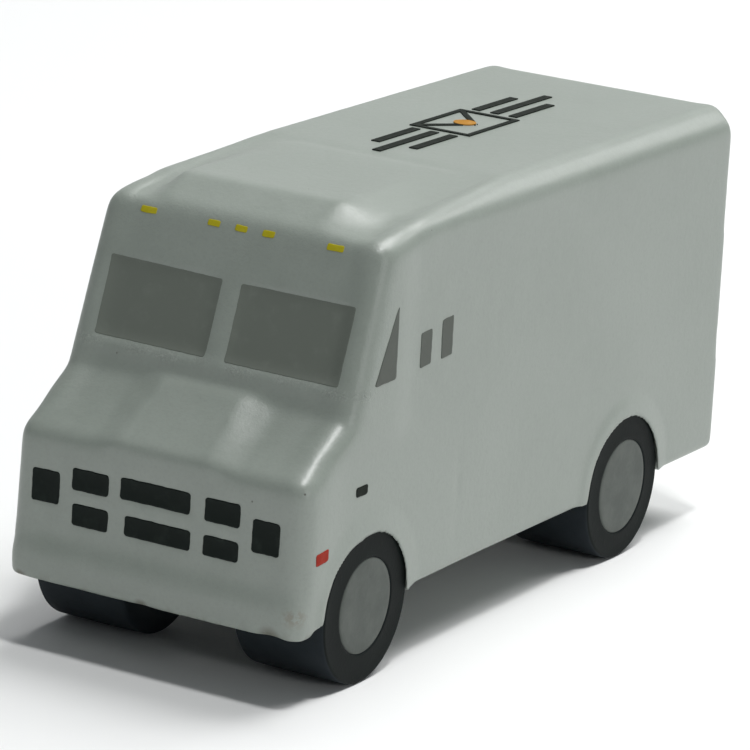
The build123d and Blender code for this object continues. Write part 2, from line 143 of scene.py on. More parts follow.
class Finish:
    """One material. Its Principled shader's sockets are set last, with shade()."""

    def __init__(self, name):
        self.material = bpy.data.materials.new(name)
        self.material.use_nodes = True
        self.tree = self.material.node_tree
        self.shader = self.tree.nodes["Principled BSDF"]
        place = self.node("ShaderNodeTexCoord", out="Object")
        self.place = self.node("ShaderNodeVectorMath", {"operation": "SCALE"}, {0: place, "Scale": 1 / MM})
        axes = self.node("ShaderNodeSeparateXYZ", inputs={0: self.place})
        self.x, self.y, self.z = (Wire(self, axes.socket.node.outputs[i]) for i in range(3))

    def plug(self, socket, value):
        if isinstance(value, Wire):
            self.tree.links.new(value.socket, socket)
        elif hasattr(value, "__len__") and len(value) == 3 and socket.type == "RGBA":
            socket.default_value = (*value, 1.0)
        else:
            socket.default_value = value

    def node(self, kind, settings=None, inputs=None, out=0):
        """Adds a node: settings first, then its sockets' values or links. Returns one output."""
        made = self.tree.nodes.new(kind)
        for key, value in (settings or {}).items():
            if key == "stops":
                for stop, (at, colour) in zip(made.color_ramp.elements, value):
                    stop.position, stop.color = at, (*colour, 1.0)
            else:
                setattr(made, key, value)
        for key, value in (inputs or {}).items():
            self.plug(made.inputs[key], value)
        return Wire(self, made.outputs[out])

    def clouds(self, size, detail=2.0, rough=0.5, shift=0.0):
        """Soft noise from 0 to 1. size is about the width of one blob, in millimetres."""
        place = self.place
        if shift:
            place = self.node("ShaderNodeVectorMath", {"operation": "ADD"}, {0: place, 1: (shift,) * 3})
        return self.node(
            "ShaderNodeTexNoise",
            inputs={"Vector": place, "Scale": 1 / size, "Detail": detail, "Roughness": rough},
        )

    def specks(self, spacing, radius, share, shift=0.0):
        """Round dots, 1 at their middles. share is how many of the cells hold one."""
        place = self.node("ShaderNodeVectorMath", {"operation": "ADD"}, {0: self.place, 1: (shift,) * 3})
        cell = self.node("ShaderNodeTexVoronoi", {"feature": "F1"}, {"Vector": place, "Scale": 1 / spacing}, "Distance")
        colour = Wire(self, cell.socket.node.outputs["Color"])
        draw = self.node("ShaderNodeSeparateColor", inputs={0: colour}, out=0)
        size = self.node("ShaderNodeSeparateColor", inputs={0: colour}, out=1)
        near = (cell * spacing / (size * radius + radius * 0.3)).rise(1.0, 0.35)
        return near * draw.rise(1 - share - 0.001, 1 - share)

    def near(self, x, y, z, radius):
        """1 at a point given in millimetres, fading to 0 at a radius."""
        apart = self.node("ShaderNodeVectorMath", {"operation": "DISTANCE"}, {0: self.place, 1: (x, y, z)}, "Value")
        return apart.rise(radius, radius * 0.3)

    def blend(self, mask, low, high):
        """One colour where mask is 0, another where it is 1."""
        made = self.tree.nodes.new("ShaderNodeMix")
        made.data_type = "RGBA"
        self.plug(made.inputs[0], mask)
        self.plug(made.inputs[6], low)
        self.plug(made.inputs[7], high)
        return Wire(self, made.outputs[2])

    def shade(self, bump=None, depth=0.05, **sockets):
        """Sets the shader's sockets; bump is a height from 0 to 1, and depth its size in mm."""
        for key, value in sockets.items():
            self.plug(self.shader.inputs[key.replace("_", " ")], value)
        if bump is not None:
            ridge = self.node("ShaderNodeBump", inputs={"Height": bump, "Distance": depth * MM, "Strength": 1.0}, out="Normal")
            self.plug(self.shader.inputs["Normal"], ridge)
        return self.material


print("finish helpers ready")

# %% [markdown]
# ## The foam's skin
# Self-skinning foam is grey-white with a faint green cast. Its skin is satin, slightly dimpled like
# orange peel, with a few burst bubbles that show as dark pin-holes. Where it left the mould, the
# lower edge of the bumper is scuffed and brownish. A flat colour would look like plaster, so the
# colour, the gloss and the bump all vary, each at its own scale.
# Along the lip under the windscreen the colour is painted lighter: a painted highlight.

# %% Foam skin
CHIPS = [(-19.3, -56.0, 9.2, 1.1), (-1.3, -56.3, 9.0, 1.3), (17.3, -56.1, 9.0, 2.0)]


def foam_finish():
    f = Finish("foam_skin")
    broad = f.clouds(26.0, 3.0)
    mottle = f.clouds(3.2, 4.0, 0.6, shift=40.0)
    pinholes = f.specks(3.4, 0.17, 0.16)
    dust = f.specks(1.7, 0.10, 0.10, shift=13.0)
    low_edge = f.z.rise(11.0, 8.9) * f.y.rise(-50.0, -54.5) * f.clouds(1.6, 3.0, shift=7.0).rise(0.5, 0.66)
    corner = f.near(19.9, -55.0, 12.2, 2.0) * f.clouds(0.8, 3.0, shift=3.0).rise(0.45, 0.6)
    # The lip under the windscreen: its bump is real relief, and its lighter colour is a painted highlight of light
    # catching the lip's grainy edge.
    lip = f.z.rise(36.7, 37.7) * f.z.rise(39.0, 38.0) * f.y.rise(-41.0, -42.5)
    lip = lip * f.clouds(3.6, 2.0, shift=52.0).rise(0.38, 0.6) * f.clouds(0.38, 5.0, 0.8, shift=33.0).rise(0.5, 0.6)
    torn = 0
    for x, y, z, radius in CHIPS:
        torn = f.near(x, y, z, radius * 1.05) + torn
    torn = torn * f.clouds(0.9, 3.0, shift=11.0).rise(0.22, 0.42)
    colour = f.blend(broad.rise(0.3, 0.7), (0.256, 0.290, 0.256), (0.280, 0.314, 0.280))
    colour = f.blend(mottle.rise(0.35, 0.8) * 0.5, colour, (0.300, 0.334, 0.300))
    colour = f.blend(f.clouds(0.5, 4.0, 0.7, shift=61.0).rise(0.42, 0.75) * 0.35, colour, (0.225, 0.252, 0.224))
    colour = f.blend(dust * 0.35, colour, (0.15, 0.16, 0.13))
    colour = f.blend(pinholes * 0.8, colour, (0.06, 0.058, 0.045))
    colour = f.blend(low_edge * 0.3, colour, (0.15, 0.145, 0.11))
    colour = f.blend(torn * 0.8, colour, (0.115, 0.110, 0.082))
    colour = f.blend(corner * 0.6, colour, (0.20, 0.155, 0.10))
    colour = f.blend(f.near(20.2, -54.9, 12.6, 0.6) * 0.8, colour, (0.09, 0.075, 0.05))
    # Painted highlight: the lip under the windscreen is painted lighter, as if light caught its edge.
    colour = f.blend(lip * 0.4, colour, (0.47, 0.50, 0.47))
    peel = f.clouds(1.15, 2.0, shift=21.0)
    grain = f.clouds(0.34, 3.0, 0.65, shift=5.0)
    pillar = f.z.rise(30.0, 38.0) * f.y.rise(-36.0, -39.5)
    height = peel * 0.5 + grain * (0.26 + 0.65 * pillar) - pinholes * 0.9 - corner * 0.8 - low_edge * 0.4 - torn * 0.5 + lip * 0.7
    gloss = 0.27 + 0.12 * mottle + 0.1 * grain + 0.25 * corner + 0.2 * torn
    return f.shade(
        height, 0.055, Base_Color=colour, Roughness=gloss, Specular_IOR_Level=0.85,
        Subsurface_Weight=0.05, Subsurface_Radius=(0.0012, 0.0012, 0.001), Subsurface_Scale=1.0,
    )


foam_skin = foam_finish()
print("made", foam_skin.name)

# %% [markdown]
# ## Inks
# Windows, lamps and grille are pad-printed: a rubber pad presses a thin film of ink on the foam. The
# ink dips into the skin's dimples, thins out in patches and leaves a pin-hole here and there, so
# each ink is a flat colour broken by the foam below it.

# %% Printed inks
def ink_finish(name, colour, wear, holes=0.12, rough=0.55, shine=0.2):
    f = Finish(name)
    thin = f.clouds(2.4, 4.0, 0.6, shift=17.0).rise(0.5, 0.8)
    mottle = f.clouds(0.5, 3.0, 0.6, shift=2.0)
    pin = f.specks(2.1, 0.12, holes, shift=9.0)
    base = f.blend(thin, colour, wear)
    base = f.blend(pin * 0.6, base, tuple(0.5 * a + 0.1 for a in wear))
    height = f.clouds(1.15, 2.0, shift=21.0) * 0.5 + mottle * 0.25 - pin * 0.5
    return f.shade(height, 0.04, Base_Color=base, Roughness=rough + 0.12 * mottle, Specular_IOR_Level=shine)


ink_screen = ink_finish("ink_screen", (0.150, 0.168, 0.145), (0.170, 0.190, 0.165))
ink_side = ink_finish("ink_side", (0.104, 0.114, 0.100), (0.118, 0.128, 0.112))
ink_front = ink_finish("ink_front", (0.0090, 0.0135, 0.0115), (0.018, 0.025, 0.021), shine=0.12)
ink_black = ink_finish("ink_black", (0.009, 0.013, 0.009), (0.020, 0.025, 0.019), shine=0.1)
ink_yellow = ink_finish("ink_yellow", (0.40, 0.35, 0.010), (0.46, 0.41, 0.03))
ink_red = ink_finish("ink_red", (0.32, 0.024, 0.012), (0.37, 0.05, 0.032), shine=0.1)
ink_orange = ink_finish("ink_orange", (0.42, 0.19, 0.015), (0.48, 0.25, 0.05))
print("made", 7, "inks")

# %% [markdown]
# ## The soft body
# The frame's body has true arcs and crisp cuts. The real one has the melted look of a moulded
# sponge: every edge is a little rounder than the mould, and raised panels fade into the roof. Cutting
# such shapes by hand is slow, so the frame's mesh is re-meshed into small even squares, its points are
# pushed where the mould has ridges, and it is then relaxed, most of all where panels fade out.

# %% Copy and re-mesh the body
VOXEL = 0.36


def copy_of(node, name):
    """A new object with a node's mesh, its split corners welded."""
    mesh = bpy.data.meshes.new(name)
    welded = bmesh.new()
    welded.from_mesh(nodes[node].data)
    bmesh.ops.remove_doubles(welded, verts=welded.verts, dist=0.002 * MM)
    welded.to_mesh(mesh)
    welded.free()
    made = bpy.data.objects.new(name, mesh)
    bpy.context.scene.collection.objects.link(made)
    return made


def settle(piece):
    """Turns a piece's modifiers into its mesh."""
    graph = bpy.context.evaluated_depsgraph_get()
    mesh = bpy.data.meshes.new_from_object(piece.evaluated_get(graph))
    piece.modifiers.clear()
    piece.vertex_groups.clear()
    piece.data = mesh
    return piece


def points_of(mesh):
    flat = np.empty(len(mesh.vertices) * 3, np.float32)
    mesh.vertices.foreach_get("co", flat)
    return flat.reshape(-1, 3).astype(float) / MM


def set_points(mesh, points):
    mesh.vertices.foreach_set("co", (points * MM).astype(np.float32).ravel())
    mesh.update()


body = copy_of("foam_body", "foam_shell")
squares = body.modifiers.new("squares", "REMESH")
squares.mode = "VOXEL"
squares.voxel_size = VOXEL * MM
settle(body)
print("body squares:", len(body.data.polygons))

# %% [markdown]
# ## Ridges, grooves and chips
# A few marks of the mould are too fine for the frame: the lip under the windscreen, the bumper's two
# lines, the belt lines of the sides and the chips torn from the lower edge. Each one is a small push
# of the points along the surface, so it is real relief and catches light from every side.

# %% Push the mould's marks
def step(value, low, high):
    t = np.clip((value - low) / (high - low), 0, 1)
    return t * t * (3 - 2 * t)


def bell(value, middle, width):
    return np.exp(-(((value - middle) / width) ** 2))


def normals_of(mesh):
    flat = np.empty(len(mesh.vertices) * 3, np.float32)
    mesh.vertices.foreach_get("normal", flat)
    return flat.reshape(-1, 3).astype(float)


def wheel_centre(end):
    low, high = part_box(f"{end}_left_tyre")
    return (low[1] + high[1]) / 2 / MM, (low[2] + high[2]) / 2 / MM


ARCHES = [
    {"axle": wheel_centre("front"), "shift": (-1.3, -1.45), "feet": ((1, 1.2),)},
    {"axle": wheel_centre("rear"), "shift": (-0.75, -0.7), "feet": ((-1, 0.5), (1, 0.15))},
]


def slope_panels(p):
    """The raised panels' sides lean: their foot moves out and their crest moves in."""
    x, y, z = p.T
    setback, wide, way = y + 56.45, np.abs(x), np.sign(x)
    top = np.interp(setback, (17.6, 24.0, 113.0), (55.45, 58.4, 58.4))
    foot = np.interp(setback, (17.6, 28.0, 52.0), (55.45, 56.9, 58.4))
    high = np.clip((z - foot - 0.1) / np.maximum(top - foot - 0.2, 0.15), 0, 1)
    zone = step(setback, 17.4, 19.0) * step(setback, 54.0, 46.0) * step(z, foot - 1.2, foot - 0.5)
    roof = zone * (1 - high) * 2.6 * step(wide, 18.8, 12.6) * step(wide, 11.0, 12.1)
    roof -= way * 1.6 * zone * high * step(wide, 16.0, 13.0) * step(wide, 6.0, 11.0)
    line = 28.4 + 0.633 * (setback - 0.8)
    rise = np.interp(setback, (0.8, 10.6), (0.62, 1.1))
    high = np.clip((z - line - 0.1) / rise, 0, 1)
    zone = step(setback, 0.0, 1.5) * step(setback, 13.0, 10.5) * step(z, line - 1.5, line - 0.6)
    out = (1 - high) * np.where(x > 0, 1.5, 0.7) * step(wide, 14.2, 8.4) * step(wide, 7.6, 8.1)
    bonnet = zone * (out - high * 1.3 * step(wide, 3.8, 8.0) * step(wide, 9.4, 8.6))
    p[:, 0] += way * (roof + bonnet)


def push_marks(mesh):
    p, n = points_of(mesh), normals_of(mesh)
    x, y, z = p.T
    out = np.zeros(len(p))
    inside = step(np.abs(x), 19.0, 17.0)
    screen = (y > -47.5) & (y < -42.0)
    out += 0.42 * bell(z, 37.8, 0.6) * inside * screen
    front = step(y, -53.5, -55.0)
    out += 0.24 * bell(z, 14.6, 0.5) * front - 0.18 * bell(z, 13.2, 0.5) * front
    out += 0.14 * bell(z, 12.0, 0.4) * front
    bonnet = step(z, 27.6, 28.6) * step(z, 34.0, 32.5) * step(y, -45.0, -46.0)
    out += 0.55 * bell(np.abs(x), 7.75, 0.55) * bonnet
    fairing = step(z, 55.6, 56.2) * step(y, -38.5, -37.0) * step(y, -14.0, -26.0)
    out += 0.22 * bell(np.abs(x), 11.5, 0.6) * fairing
    header = step(y, -34.0, -36.0) * step(np.abs(x), 18.5, 17.0)
    out += 0.12 * bell(z, 55.3, 0.4) * header
    nose_corner = step(np.abs(x), 16.5, 19.0) * step(y, -46.0, -52.0) * step(z, 13.0, 15.0) * step(z, 31.0, 28.0)
    out += 0.25 * nose_corner
    cab_corner = step(np.abs(x), 16.0, 18.5) * step(y, -30.0, -36.0) * step(z, 29.0, 32.0)
    out += 0.38 * cab_corner + 0.2 * step(np.abs(x), 15.0, 17.5) * step(z, 55.0, 56.5) * step(y, -40.0, -34.0)
    side = step(np.abs(x), 19.4, 20.2)
    out -= 0.07 * bell(z, 48.7, 0.45) * side * step(y, -32.0, -27.0)
    out -= 0.09 * bell(z, 26.1, 0.45) * side * step(y, -18.0, -16.0)
    out -= 0.06 * bell(y, -18.0, 0.4) * side * step(z, 11.5, 13.0) * step(z, 27.0, 26.0)
    soft = np.array([noise.noise(Vector(q) / 14.0) for q in p])
    flat_roof = step(z, 58.0, 58.3) * step(y, -6.0, -4.0)
    out += 0.09 * soft * (1 - flat_roof)
    p += n * out[:, None]
    for arch in ARCHES:
        for way, drop in arch["feet"]:
            along = way * (y - arch["axle"][0])
            foot = step(along, 11.9, 10.6) * step(along, 9.0, 9.9) * step(z, 10.7, 9.9) * step(np.abs(x), 16.8, 18.2)
            p[:, 2] -= drop * foot
    p[:, 2] -= 0.35 * bell(np.abs(x), 20.4, 0.7) * bell(y, -53.3, 0.8) * step(z, 10.0, 9.3)
    for cx, cy, cz, radius in CHIPS:
        apart = np.linalg.norm(p - (cx, cy, cz), axis=1) / radius
        dent = np.clip(1 - apart**2, 0, 1) ** 0.6 * radius * 0.2
        p += dent[:, None] * np.array([0, 0.83, 0.55])
    slope_panels(p)
    low = step(z, 9.9, 9.3) * front
    ragged = np.array([noise.noise(Vector((q[0] * 1.1, 4.0, 0.0))) for q in p])
    p[:, 2] += 0.28 * low * ragged
    set_points(mesh, p)


push_marks(body.data)
print("marks pushed; points:", len(body.data.vertices))


# %% Relax the body
def relax(piece, weights, rounds):
    group = piece.vertex_groups.new(name="soft")
    for level in np.unique(np.round(weights, 1)):
        if level > 0:
            group.add(np.flatnonzero(np.round(weights, 1) == level).tolist(), float(level), "ADD")
    smooth = piece.modifiers.new("relax", "SMOOTH")
    smooth.factor, smooth.iterations, smooth.vertex_group = 0.5, rounds, "soft"
    settle(piece)


def everywhere(p):
    return np.ones(len(p))


def where_panels_fade(p):
    """The fairing's crest, its rear and the roof's shoulders; the header line stays crisp."""
    x, y, z = p.T
    crest = step(z, 56.6, 57.2) * step(y, -37.5, -35.0) * step(y, -25.0, -29.0) * step(np.abs(x), 11.6, 10.4)
    rear = step(z, 55.0, 56.0) * step(y, -26.0, -12.0) * step(y, 2.0, -4.0)
    setback = y + 56.45
    top = np.interp(setback, (17.6, 24.0, 113.0), (55.45, 58.4, 58.4))
    shoulder = np.interp(setback, (17.6, 28.0, 52.0), (55.45, 56.9, 58.4))
    middle = (top + shoulder) / 2
    pod = step(z, middle - 0.4, middle + 0.2) * step(setback, 17.0, 18.5) * step(np.abs(x), 8.5, 10.5)
    pod = pod * step(np.abs(x), 16.0, 14.5) * step(setback, 54.0, 48.0)
    cowl = step(z, 33.5, 34.5) * step(z, 37.0, 36.0) * step(y, -43.0, -44.5)
    nose = step(z, 25.6, 27.4) * step(z, 31.5, 29.8) * step(y, -51.0, -53.0)
    nose = nose * (1 - 0.75 * bell(np.abs(x), 7.75, 1.0) * step(z, 28.6, 29.6))
    return np.clip(crest + rear + 0.3 * pod * (x > 0) + 0.6 * cowl + 0.9 * nose, 0, 1)


def hug_wheels(mesh):
    """The arches' soft edges lean out past the tyres and cover the tops of their faces."""
    p, n = points_of(mesh), normals_of(mesh)
    x, y, z = p.T
    skin = step(np.abs(n[:, 0]), 0.35, 0.75) * (np.abs(x) > 20.5)
    for arch in ARCHES:
        (cy, cz), (sy, sz) = arch["axle"], arch["shift"]
        apart = np.hypot(y - cy, z - cz)
        u, v = (y - cy) / apart, (z - cz) / apart
        along = u * sy + v * sz
        edge = along + np.sqrt(ARCH_RADIUS**2 - sy**2 - sz**2 + along**2)
        near = skin * step(apart, 13.2, 10.4) * step(z, 9.2, 10.4)
        slide = np.clip(edge - TYRE_CLEAR, -1.2, 0.4) * near
        p[:, 1] += slide * u
        p[:, 2] += slide * v
        p[:, 0] += np.sign(x) * np.clip(21.72 - np.abs(x), 0, 0.6) * near
        wide, apart = np.abs(p[:, 0]), np.hypot(p[:, 1] - cy, p[:, 2] - cz)
        lip = (wide > 20.4) & (apart < TYRE_CLEAR + 0.5)
        p[:, 0] = np.where(lip, np.sign(x) * np.maximum(wide, 21.45), p[:, 0])
        over = (wide <= 20.4) & (wide > np.where(apart > 9.5, 7.9, 8.5)) & (apart < TYRE_CLEAR)
        grow = np.where(over, TYRE_CLEAR / apart, 1.0)
        p[:, 1], p[:, 2] = cy + (p[:, 1] - cy) * grow, cz + (p[:, 2] - cz) * grow
    set_points(mesh, p)


ARCH_RADIUS = 10.3
TYRE_CLEAR = 10.3

relax(body, everywhere(points_of(body.data)), 2)
relax(body, where_panels_fade(points_of(body.data)), 40)
hug_wheels(body.data)
body.data.polygons.foreach_set("use_smooth", [True] * len(body.data.polygons))
body.data.materials.clear()
body.data.materials.append(foam_skin)
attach(body, "truck")
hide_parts("foam_body")
print("relaxed body:", len(body.data.polygons), "squares")

# %% [markdown]
# ## Ink that follows the foam
# Each print could float on a flat plate, but the foam is not flat any more. So a print is drawn as a
# fine grid in its own plane, with rounded corners and a slightly uneven outline, and every point is
# then dropped on to the skin along the plane's normal, like the pad that printed it.

# %% Drop a print on to the skin
skin = BVHTree.FromObject(body, bpy.context.evaluated_depsgraph_get())
INK_PROUD = 0.05
INK_THICK = 0.09


def round_grid(corners, radius, across, up):
    """A grid of points over four corners, with rounded corners. Corners are in mm, in a plane."""
    c = np.array(corners, float)
    wide = (np.linalg.norm(c[1] - c[0]) + np.linalg.norm(c[2] - c[3])) / 2
    tall = (np.linalg.norm(c[3] - c[0]) + np.linalg.norm(c[2] - c[1])) / 2
    ru, rv = min(0.49, radius / wide), min(0.49, radius / tall)

    def spread(count, r):
        edge = max(2, count // 5)
        return np.concatenate([np.linspace(0, r, edge, endpoint=False), np.linspace(r, 1 - r, count), np.linspace(1 - r, 1, edge + 1)[1:]])

    us, vs = spread(across, ru), spread(up, rv)
    rows = []
    for v in vs:
        row = []
        for u in us:
            a = (ru - u) / ru if u < ru else ((u - 1 + ru) / ru if u > 1 - ru else 0.0)
            b = (rv - v) / rv if v < rv else ((v - 1 + rv) / rv if v > 1 - rv else 0.0)
            if a > 0 and b > 0:
                a2, b2 = a * math.sqrt(1 - b * b / 2), b * math.sqrt(1 - a * a / 2)
                uu = ru - a2 * ru if u < ru else 1 - ru + a2 * ru
                vv = rv - b2 * rv if v < rv else 1 - rv + b2 * rv
            else:
                uu, vv = u, v
            at = (1 - uu) * (1 - vv) * c[0] + uu * (1 - vv) * c[1] + uu * vv * c[2] + (1 - uu) * vv * c[3]
            row.append(at)
        rows.append(row)
    return np.array(rows)


def dropped(grid, to_space, normal, ragged=0.06):
    """Points of a grid on the skin. to_space turns a plane point to a space point in mm."""
    rows = []
    towards = -Vector(normal).normalized()
    for row in grid:
        placed = []
        for q in row:
            shake = noise.noise_vector(Vector((q[0], q[1], 3.0)) * 0.9) * ragged
            fine = noise.noise_vector(Vector((q[0], q[1], 9.0)) * 3.1) * ragged * 0.5
            start = Vector(to_space(q[0] + shake[0] + fine[0], q[1] + shake[1] + fine[1]))
            hit = skin.ray_cast((start - towards * 6.0) * MM, towards, 14.0 * MM)
            placed.append(hit[0] / MM - towards * INK_PROUD)
        rows.append(placed)
    return rows


def ink_piece(name, patches, finish, node, radius=0.45, ragged=0.06):
    """One printed piece made of patches: (corners, to_space, normal, across, up)."""
    mesh = bmesh.new()
    for corners, to_space, normal, across, up in patches:
        rows = dropped(round_grid(corners, radius, across, up), to_space, normal, ragged)
        verts = [[mesh.verts.new(q * MM) for q in row] for row in rows]
        made = []
        for j in range(len(verts) - 1):
            for i in range(len(verts[0]) - 1):
                quad = (verts[j][i], verts[j][i + 1], verts[j + 1][i + 1], verts[j + 1][i])
                made.append(mesh.faces.new(quad))
        if made[0].normal.length == 0:
            mesh.normal_update()
        total = sum((face.normal * face.calc_area() for face in made), Vector())
        if total.dot(Vector(normal)) < 0:
            for face in made:
                face.normal_flip()
    data = bpy.data.meshes.new(name)
    mesh.to_mesh(data)
    mesh.free()
    piece = bpy.data.objects.new(name, data)
    bpy.context.scene.collection.objects.link(piece)
    film = piece.modifiers.new("film", "SOLIDIFY")
    film.thickness, film.offset = INK_THICK * MM, -1.0
    settle(piece)
    piece.data.polygons.foreach_set("use_smooth", [True] * len(piece.data.polygons))
    piece.data.materials.append(finish)
    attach(piece, "truck")
    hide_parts(node)
    return piece


print("skin ready for printing")

# %% [markdown]
# ## Windows, lamps and grille
# Only the lean of each plane is given here: the windscreen leans back, and the sides' planes stand upright.

# %% Front prints
def box_mm(node):
    low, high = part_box(node)
    return np.array(low) / MM, np.array(high) / MM


SIDES = {"left": 1, "right": -1}


def screen_space(node):
    """The windscreen's plane through a pane: points (x, z) keep their height and lean back."""
    low, high = box_mm(node)
    lean = (high[1] - low[1]) / (high[2] - low[2])
    return (lambda x, z: (x, low[1] + (z - low[2]) * lean, z)), (0, -1, lean)


def flat_front(y):
    return lambda x, z: (x, y, z)


PRINT_SHIFT = -0.35
PANE_NUDGE = {
    "left": ((0.0, 0.05), (0.35, 0.0), (0.35, 0.0), (0.0, 0.0)),
    "right": ((0.15, 0.2), (0.1, 0.1), (0.2, 0.05), (0.15, 0.35)),
}

for side in SIDES:
    node = f"windscreen_{side}"
    low, high = box_mm(node)
    to_space, normal = screen_space(node)
    corners = [(low[0], low[2]), (high[0], low[2]), (high[0], high[2]), (low[0], high[2])]
    corners = [(x + dx, z + dz) for (x, z), (dx, dz) in zip(corners, PANE_NUDGE[side])]
    ink_piece(f"pane_{side}", [(corners, to_space, normal, 40, 24)], ink_screen, node, 0.3, 0.03)
    node = f"headlamp_{side}"
    low, high = box_mm(node)
    x0, x1 = low[0] + PRINT_SHIFT, high[0] + PRINT_SHIFT
    corners = [(x0, low[2]), (x1, low[2]), (x1, high[2]), (x0, high[2])]
    ink_piece(f"lamp_{side}", [(corners, flat_front(low[1]), (0, -1, 0), 16, 16)], ink_front, node, 0.4)


def islands(node):
    """The boxes of a node's separate solids, in mm."""
    mesh = bmesh.new()
    mesh.from_mesh(nodes[node].data)
    bmesh.ops.remove_doubles(mesh, verts=mesh.verts, dist=0.002 * MM)
    left, boxes = set(mesh.verts), []
    while left:
        stack, group = [left.pop()], []
        while stack:
            v = stack.pop()
            group.append(v.co / MM)
            for edge in v.link_edges:
                w = edge.other_vert(v)
                if w in left:
                    left.remove(w)
                    stack.append(w)
        group = np.array(group)
        boxes.append((group.min(0), group.max(0)))
    mesh.free()
    return sorted(boxes, key=lambda b: (round(b[0][2], 2), round(b[0][1], 2), b[0][0]))


def front_patches(node, across, up):
    patches = []
    box_low, box_high = box_mm(node)
    middle = (3 * box_low[2] + box_high[2]) / 4
    for low, high in islands(node):
        x0, x1 = low[0] + PRINT_SHIFT, high[0] + PRINT_SHIFT
        z0, z1 = low[2], high[2]
        lower = z0 < middle
        if x0 < 0 < x1:
            x0, x1 = (x0 + 0.7, x1 + 0.3) if lower else (x0 - 0.1, x1)
        elif x0 < 0:
            x0, x1, z0, z1 = (x0 + 0.2, x1 + 0.45, z0 - 0.2, z1) if lower else (x0, x1 + 0.3, z0 - 0.25, z1 - 0.25)
        elif not lower:
            z0 -= 0.2
        corners = [(x0, z0), (x1, z0), (x1, z1), (x0, z1)]
        patches.append((corners, flat_front(low[1]), (0, -1, 0), across, up))
    return patches


grille = ink_piece("grille_print", front_patches("grille_slats", 18, 10), ink_front, "grille_slats", 0.4)
lamp_to_space, lamp_normal = screen_space("windscreen_left")
lamp_patches = []
for low, high in islands("roof_marker_lamps"):
    x0, x1, z0, z1 = low[0] - 0.22, high[0] - 0.38, low[2] + 0.03, high[2] - 0.28
    corners = [(x0, z0), (x1, z0), (x1, z1), (x0, z1)]
    lamp_patches.append((corners, lamp_to_space, lamp_normal, 10, 6))
markers = ink_piece("roof_lamps_print", lamp_patches, ink_yellow, "roof_marker_lamps", 0.2)
print("front prints:", len(grille.data.polygons), len(markers.data.polygons))


# %% Side prints
def side_space(sign):
    return lambda y, z: (sign * 23.0, y, z)


def side_patch(sign, corners, across=10, up=14):
    return (corners, side_space(sign), (sign, 0, 0), across, up)


for side, sign in SIDES.items():
    low, high = box_mm(f"quarter_window_{side}")
    tip = 0.35
    corners = [(low[1] - 0.6, low[2]), (high[1] - 0.5, low[2] + 0.1), (high[1] - 0.5, high[2]), (high[1] - 0.5 - tip, high[2] - tip)]
    ink_piece(f"vent_{side}", [side_patch(sign, corners)], ink_side, f"quarter_window_{side}", 0.3)
    patches = []
    for low, high in islands(f"door_windows_{side}"):
        rise = 0.06 * (high[1] - low[1])
        y0, y1 = low[1] + 0.2, high[1] - 0.2
        corners = [(y0, low[2]), (y1, low[2] + rise), (y1, high[2]), (y0, high[2] - rise)]
        patches.append(side_patch(sign, corners))
    ink_piece(f"door_panes_{side}", patches, ink_side, f"door_windows_{side}", 0.25)
    low, high = box_mm(f"door_handle_{side}")
    corners = [(low[1], low[2]), (high[1], low[2]), (high[1], high[2]), (low[1], high[2])]
    ink_piece(f"handle_{side}", [side_patch(sign, corners, 8, 6)], ink_black, f"door_handle_{side}", 0.35)
    low, high = box_mm(f"side_marker_{side}")
    rise = 0.25
    corners = [(low[1], low[2]), (high[1], low[2] + rise), (high[1], high[2]), (low[1], high[2] - rise)]
    ink_piece(f"marker_{side}", [side_patch(sign, corners, 8, 6)], ink_red, f"side_marker_{side}", 0.3)
print("side prints made")

# %% [markdown]
# ## The roof print
# The badge is a plain envelope with bars, on the flat rear half of the roof. The frame's films have
# the right shape already, so they stay, with the inks on them.

# %% Ink on the roof badge
def paint(node, finish):
    target = nodes[node]
    if target.data.materials:
        for place in target.material_slots:
            place.material = finish
    else:
        target.data.materials.append(finish)


paint("roof_badge", ink_black)
paint("roof_badge_seal", ink_orange)
print("badge inked")

# %% [markdown]
# ## Wheels
# The tyres are black drums of soft vinyl. A plain cylinder would look like a coin: the real ones have
# a slight crown, a mould line round the middle, a thin flash line where the face meets the tread, and
# a dusty bloom. A profile is drawn once and turned round the axle, with a small wobble.
# The tread is painted lighter than the face: painted light and shade on one and the same vinyl.

# %% Vinyl and hub finishes
def vinyl_finish():
    f = Finish("tyre_vinyl")
    bloom = f.clouds(4.5, 4.0, 0.6)
    fine = f.clouds(0.45, 3.0, 0.6, shift=8.0)
    scuff = f.clouds(1.1, 4.0, 0.7, shift=31.0).rise(0.56, 0.72)
    # Painted light: this mask splits one vinyl into a darker face and a lighter tread, standing in for how light falls
    # on each.
    face = (f.x * f.x).rise(446.0, 452.0)
    # The tread's lighter tone and the face's darker tone are painted light and shade, not two different vinyls.
    tread = f.blend(bloom.rise(0.3, 0.75), (0.0170, 0.0225, 0.0265), (0.0240, 0.0300, 0.0350))
    flat = f.blend(bloom.rise(0.3, 0.75), (0.0030, 0.0055, 0.0050), (0.0065, 0.0100, 0.0090))
    colour = f.blend(scuff * 0.3, f.blend(face, tread, flat), (0.030, 0.032, 0.027))
    return f.shade(
        fine * 0.5 + scuff * 0.3, 0.05, Base_Color=colour,
        Roughness=0.56 + 0.15 * bloom + 0.1 * scuff, Specular_IOR_Level=0.13,
    )


